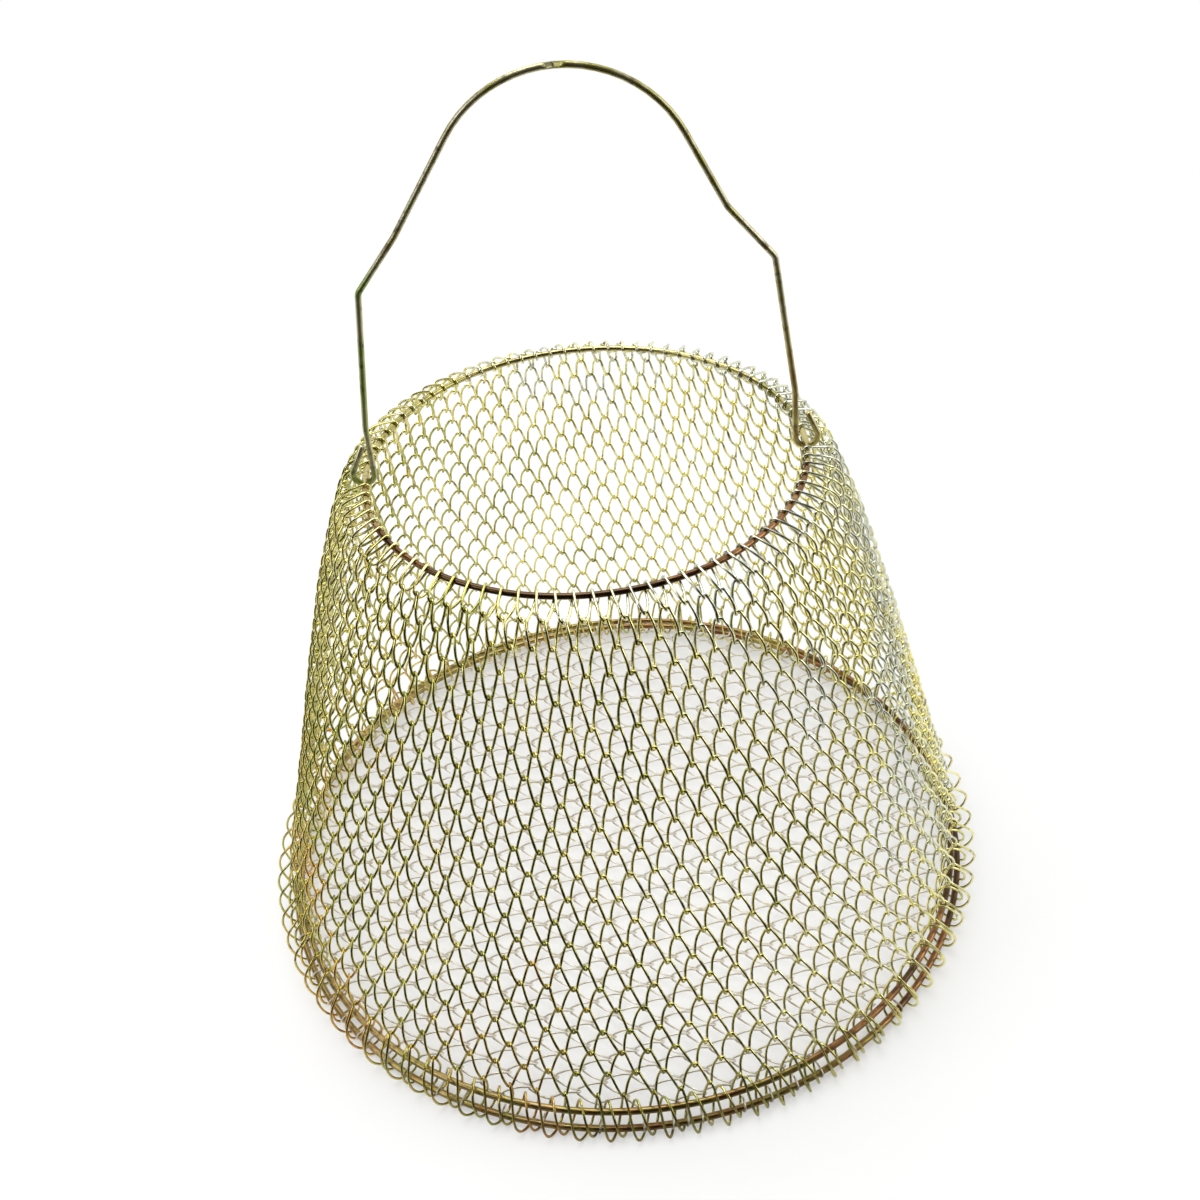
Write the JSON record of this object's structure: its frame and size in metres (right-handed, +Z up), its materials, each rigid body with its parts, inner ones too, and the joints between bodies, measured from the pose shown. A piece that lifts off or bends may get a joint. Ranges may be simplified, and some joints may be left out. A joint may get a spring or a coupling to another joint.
{
  "type": "wire egg basket",
  "caption": "Collapsible wire egg basket: coiled wire rows hooked between a small top ring and wide base rings, flat mesh floor and a swinging wire bail.",
  "frame": {"origin": "on the surface it stands on, under the middle of the base rings", "axes": "+Z up through the middle of the rings; the bail's two eyes lie on +X and -X"},
  "size_m": [0.3, 0.2998, 0.3415],
  "materials": {
    "mesh_wire": "yellow zinc plated wire, satin, with iridescent pink and green tints",
    "floor_wire": "yellow zinc plated wire, satin",
    "rim_wire": "yellow zinc plated, darker olive and red-brown",
    "base_wire": "yellow zinc plated, olive gold",
    "bail_wire": "yellow zinc plated, dark bronze with gold highlights"
  },
  "bodies": {
    "base": {"foot_row": "mesh_wire", "base_ring_upper": "base_wire", "base_ring_lower": "base_wire", "floor_row_01": "floor_wire", "floor_row_02": "floor_wire", "floor_row_03": "floor_wire", "floor_row_04": "floor_wire", "floor_row_05": "floor_wire", "floor_row_06": "floor_wire", "floor_row_07": "floor_wire", "floor_row_08": "floor_wire", "floor_row_09": "floor_wire", "floor_row_10": "floor_wire", "floor_row_11": "floor_wire", "floor_row_12": "floor_wire", "floor_row_13": "floor_wire", "floor_row_14": "floor_wire", "floor_row_15": "floor_wire", "floor_row_16": "floor_wire", "floor_row_17": "floor_wire", "floor_row_18": "floor_wire", "floor_row_19": "floor_wire", "floor_row_20": "floor_wire", "floor_row_21": "floor_wire", "floor_row_22": "floor_wire", "floor_row_23": "floor_wire", "floor_row_24": "floor_wire", "floor_row_25": "floor_wire", "floor_row_26": "floor_wire", "floor_row_27": "floor_wire", "floor_row_28": "floor_wire", "floor_row_29": "floor_wire"},
    "rim": {"top_ring": "rim_wire", "wall_row_01": "mesh_wire"},
    "wall_02": {"wall_row_02": "mesh_wire"},
    "wall_03": {"wall_row_03": "mesh_wire"},
    "wall_04": {"wall_row_04": "mesh_wire"},
    "wall_05": {"wall_row_05": "mesh_wire"},
    "wall_06": {"wall_row_06": "mesh_wire"},
    "wall_07": {"wall_row_07": "mesh_wire"},
    "wall_08": {"wall_row_08": "mesh_wire"},
    "wall_09": {"wall_row_09": "mesh_wire"},
    "wall_10": {"wall_row_10": "mesh_wire"},
    "wall_11": {"wall_row_11": "mesh_wire"},
    "wall_12": {"wall_row_12": "mesh_wire"},
    "wall_13": {"wall_row_13": "mesh_wire"},
    "wall_14": {"wall_row_14": "mesh_wire"},
    "wall_15": {"wall_row_15": "mesh_wire"},
    "wall_16": {"wall_row_16": "mesh_wire"},
    "wall_17": {"wall_row_17": "mesh_wire"},
    "wall_18": {"wall_row_18": "mesh_wire"},
    "wall_19": {"wall_row_19": "mesh_wire"},
    "wall_20": {"wall_row_20": "mesh_wire"},
    "wall_21": {"wall_row_21": "mesh_wire"},
    "bail": {"bail_handle": "bail_wire"}
  },
  "joints": [
    {"name": "collapse", "type": "slide", "parent": "base", "child": "rim", "axis": [0, 0, -1], "range_m": [0, 0.13103]},
    {"name": "wall_02_nest", "type": "slide", "parent": "base", "child": "wall_02", "axis": [0, 0, -1], "range_m": [0, 0.1256]},
    {"name": "wall_03_nest", "type": "slide", "parent": "base", "child": "wall_03", "axis": [0, 0, -1], "range_m": [0, 0.1194]},
    {"name": "wall_04_nest", "type": "slide", "parent": "base", "child": "wall_04", "axis": [0, 0, -1], "range_m": [0, 0.11311]},
    {"name": "wall_05_nest", "type": "slide", "parent": "base", "child": "wall_05", "axis": [0, 0, -1], "range_m": [0, 0.10676]},
    {"name": "wall_06_nest", "type": "slide", "parent": "base", "child": "wall_06", "axis": [0, 0, -1], "range_m": [0, 0.10038]},
    {"name": "wall_07_nest", "type": "slide", "parent": "base", "child": "wall_07", "axis": [0, 0, -1], "range_m": [0, 0.09396]},
    {"name": "wall_08_nest", "type": "slide", "parent": "base", "child": "wall_08", "axis": [0, 0, -1], "range_m": [0, 0.08752]},
    {"name": "wall_09_nest", "type": "slide", "parent": "base", "child": "wall_09", "axis": [0, 0, -1], "range_m": [0, 0.08107]},
    {"name": "wall_10_nest", "type": "slide", "parent": "base", "child": "wall_10", "axis": [0, 0, -1], "range_m": [0, 0.07461]},
    {"name": "wall_11_nest", "type": "slide", "parent": "base", "child": "wall_11", "axis": [0, 0, -1], "range_m": [0, 0.06814]},
    {"name": "wall_12_nest", "type": "slide", "parent": "base", "child": "wall_12", "axis": [0, 0, -1], "range_m": [0, 0.06166]},
    {"name": "wall_13_nest", "type": "slide", "parent": "base", "child": "wall_13", "axis": [0, 0, -1], "range_m": [0, 0.05518]},
    {"name": "wall_14_nest", "type": "slide", "parent": "base", "child": "wall_14", "axis": [0, 0, -1], "range_m": [0, 0.04869]},
    {"name": "wall_15_nest", "type": "slide", "parent": "base", "child": "wall_15", "axis": [0, 0, -1], "range_m": [0, 0.04221]},
    {"name": "wall_16_nest", "type": "slide", "parent": "base", "child": "wall_16", "axis": [0, 0, -1], "range_m": [0, 0.03573]},
    {"name": "wall_17_nest", "type": "slide", "parent": "base", "child": "wall_17", "axis": [0, 0, -1], "range_m": [0, 0.02925]},
    {"name": "wall_18_nest", "type": "slide", "parent": "base", "child": "wall_18", "axis": [0, 0, -1], "range_m": [0, 0.02278]},
    {"name": "wall_19_nest", "type": "slide", "parent": "base", "child": "wall_19", "axis": [0, 0, -1], "range_m": [0, 0.01631]},
    {"name": "wall_20_nest", "type": "slide", "parent": "base", "child": "wall_20", "axis": [0, 0, -1], "range_m": [0, 0.00986]},
    {"name": "wall_21_nest", "type": "slide", "parent": "base", "child": "wall_21", "axis": [0, 0, -1], "range_m": [0, 0.00342]},
    {"name": "bail_swing", "type": "hinge", "parent": "rim", "child": "bail", "pos_m": [0, 0, 0.198], "axis": [1, 0, 0], "range_deg": [-50, 50]}
  ],
  "couplings": [
    {"joint": "wall_02_nest", "follows": "collapse", "ratio": 0.95703},
    {"joint": "wall_03_nest", "follows": "collapse", "ratio": 0.9097},
    {"joint": "wall_04_nest", "follows": "collapse", "ratio": 0.8617},
    {"joint": "wall_05_nest", "follows": "collapse", "ratio": 0.81326},
    {"joint": "wall_06_nest", "follows": "collapse", "ratio": 0.76452},
    {"joint": "wall_07_nest", "follows": "collapse", "ratio": 0.71557},
    {"joint": "wall_08_nest", "follows": "collapse", "ratio": 0.66645},
    {"joint": "wall_09_nest", "follows": "collapse", "ratio": 0.61721},
    {"joint": "wall_10_nest", "follows": "collapse", "ratio": 0.56788},
    {"joint": "wall_11_nest", "follows": "collapse", "ratio": 0.51849},
    {"joint": "wall_12_nest", "follows": "collapse", "ratio": 0.46905},
    {"joint": "wall_13_nest", "follows": "collapse", "ratio": 0.41958},
    {"joint": "wall_14_nest", "follows": "collapse", "ratio": 0.37009},
    {"joint": "wall_15_nest", "follows": "collapse", "ratio": 0.32061},
    {"joint": "wall_16_nest", "follows": "collapse", "ratio": 0.27113},
    {"joint": "wall_17_nest", "follows": "collapse", "ratio": 0.22169},
    {"joint": "wall_18_nest", "follows": "collapse", "ratio": 0.17229},
    {"joint": "wall_19_nest", "follows": "collapse", "ratio": 0.12295},
    {"joint": "wall_20_nest", "follows": "collapse", "ratio": 0.0737},
    {"joint": "wall_21_nest", "follows": "collapse", "ratio": 0.02455}
  ]
}
